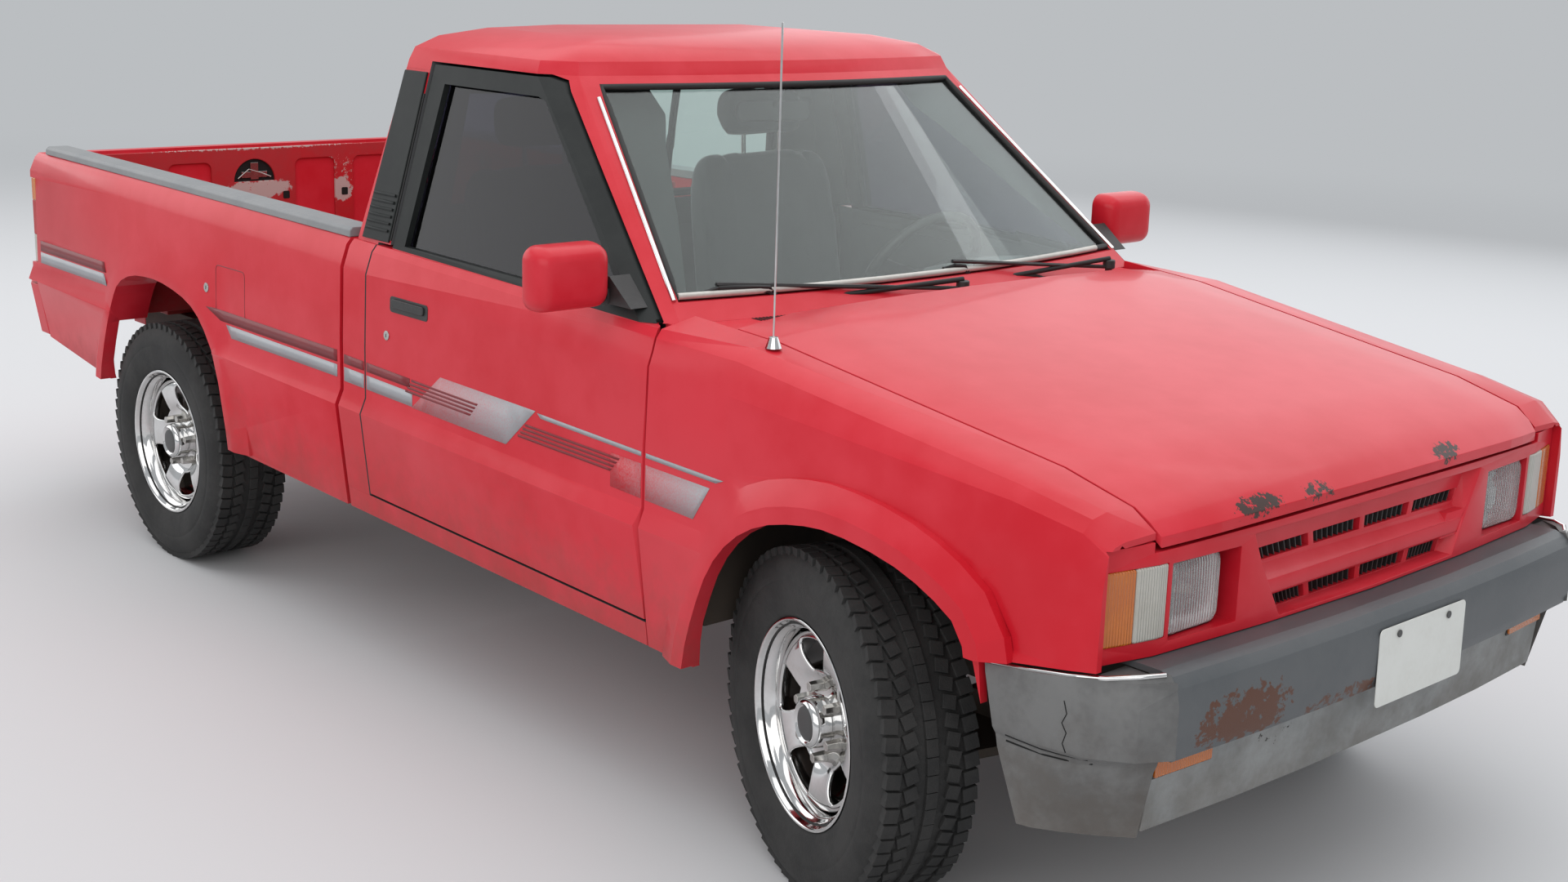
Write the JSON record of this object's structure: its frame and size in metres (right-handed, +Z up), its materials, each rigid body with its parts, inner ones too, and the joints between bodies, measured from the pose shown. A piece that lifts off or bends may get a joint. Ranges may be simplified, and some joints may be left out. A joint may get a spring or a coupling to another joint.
{
  "type": "pickup truck",
  "caption": "Compact regular-cab pickup truck with a short open bed, hinged doors, hood and tailgate, steered front wheels and rolling chrome wheels.",
  "frame": {"origin": "on the floor under the middle of the truck's length and width", "axes": "nose towards -Y, the truck's left side towards +X, +Z up"},
  "size_m": [1.97, 4.458, 1.6627],
  "materials": {
    "red_paint": "faded gloss paint with chips",
    "chassis_paint": "satin black with road dirt",
    "grey_steel": "grey paint with rust",
    "grey_plastic": "weathered moulded plastic",
    "black_plastic": "moulded plastic",
    "glass": "clear",
    "tinted_glass": "tinted",
    "lamp_glass": "ribbed lens",
    "amber_lens": "lens",
    "red_lens": "lens",
    "tyre": "worn tread",
    "chrome": "polished with road film",
    "cast_metal": "rusty",
    "interior_grey": "grained",
    "seat_cloth": "woven"
  },
  "bodies": {
    "chassis": {"frame_rail_right": "chassis_paint", "frame_rail_left": "chassis_paint", "frame_crossmembers": "chassis_paint", "engine_block": "cast_metal", "gearbox": "cast_metal", "fuel_tank": "chassis_paint", "cab_floor": "red_paint", "cowl_firewall": "red_paint", "roof_and_pillars": "red_paint", "cab_back": "red_paint", "fixed_glass": "glass", "engine_bay": "chassis_paint", "fender_right": "red_paint", "fender_left": "red_paint", "grille_panel": "red_paint", "grille_fins": "black_plastic", "headlamps": "lamp_glass", "corner_lamps": "amber_lens", "front_bumper": "grey_steel", "bumper_end_caps": "grey_plastic", "front_valance": "grey_steel", "bed_side_right": "red_paint", "bed_side_left": "red_paint", "bed_floor": "red_paint", "rail_caps": "grey_plastic", "tail_lamps": "red_lens", "rear_panel": "red_paint", "seats": "seat_cloth", "dashboard": "interior_grey", "steering_column": "interior_grey", "pillar_trims": "black_plastic", "wipers": "black_plastic", "aerial": "chrome", "front_suspension": "cast_metal", "rear_axle": "cast_metal", "leaf_springs": "cast_metal", "drive_shaft": "cast_metal", "exhaust": "cast_metal"},
    "hood": {"hood": "red_paint"},
    "tailgate": {"tailgate": "red_paint"},
    "door_right": {"door_right": "red_paint", "door_glass_right": "tinted_glass", "mirror_right": "red_paint"},
    "door_left": {"door_left": "red_paint", "door_glass_left": "tinted_glass", "mirror_left": "red_paint"},
    "knuckle_right": {"knuckle_right": "cast_metal"},
    "knuckle_left": {"knuckle_left": "cast_metal"},
    "wheel_front_right": {"tyre_front_right": "tyre", "rim_front_right": "chrome"},
    "wheel_front_left": {"tyre_front_left": "tyre", "rim_front_left": "chrome"},
    "wheel_rear_right": {"tyre_rear_right": "tyre", "rim_rear_right": "chrome"},
    "wheel_rear_left": {"tyre_rear_left": "tyre", "rim_rear_left": "chrome"},
    "steering_wheel": {"steering_wheel": "black_plastic"}
  },
  "joints": [
    {"name": "door_right_hinge", "type": "hinge", "parent": "chassis", "child": "door_right", "pos_m": [-0.804, -0.905, 0.7], "axis": [0, 0, 1], "range_deg": [0, 65]},
    {"name": "door_left_hinge", "type": "hinge", "parent": "chassis", "child": "door_left", "pos_m": [0.804, -0.905, 0.7], "axis": [0, 0, -1], "range_deg": [0, 65]},
    {"name": "hood_hinge", "type": "hinge", "parent": "chassis", "child": "hood", "pos_m": [0, -1.083, 1.051], "axis": [-1, 0, 0], "range_deg": [0, 50]},
    {"name": "tailgate_hinge", "type": "hinge", "parent": "chassis", "child": "tailgate", "pos_m": [0, 2.144, 0.692], "axis": [-1, 0, 0], "range_deg": [0, 90]},
    {"name": "steer_right", "type": "hinge", "parent": "chassis", "child": "knuckle_right", "pos_m": [-0.64, -1.461, 0.345], "axis": [0, 0, 1], "range_deg": [-15.8, 48.2]},
    {"name": "steer_left", "type": "hinge", "parent": "chassis", "child": "knuckle_left", "pos_m": [0.64, -1.461, 0.345], "axis": [0, 0, 1], "range_deg": [-15.8, 48.2]},
    {"name": "steering_wheel_turn", "type": "hinge", "parent": "chassis", "child": "steering_wheel", "pos_m": [0.37, -0.55004, 0.98932], "axis": [0, 0.8829, 0.4695], "range_deg": [-240, 730]},
    {"name": "spin_front_right", "type": "hinge", "parent": "knuckle_right", "child": "wheel_front_right", "pos_m": [-0.70242, -1.44287, 0.345], "axis": [0.9603, -0.279, 0], "continuous": true},
    {"name": "spin_front_left", "type": "hinge", "parent": "knuckle_left", "child": "wheel_front_left", "pos_m": [0.70242, -1.47913, 0.345], "axis": [0.9603, -0.279, 0], "continuous": true},
    {"name": "spin_rear_right", "type": "hinge", "parent": "chassis", "child": "wheel_rear_right", "pos_m": [-0.705, 1.3, 0.345], "axis": [1, 0, 0], "continuous": true},
    {"name": "spin_rear_left", "type": "hinge", "parent": "chassis", "child": "wheel_rear_left", "pos_m": [0.705, 1.3, 0.345], "axis": [1, 0, 0], "continuous": true}
  ],
  "couplings": [
    {"joint": "steer_left", "follows": "steer_right", "ratio": 1},
    {"joint": "steering_wheel_turn", "follows": "steer_right", "ratio": 15}
  ]
}
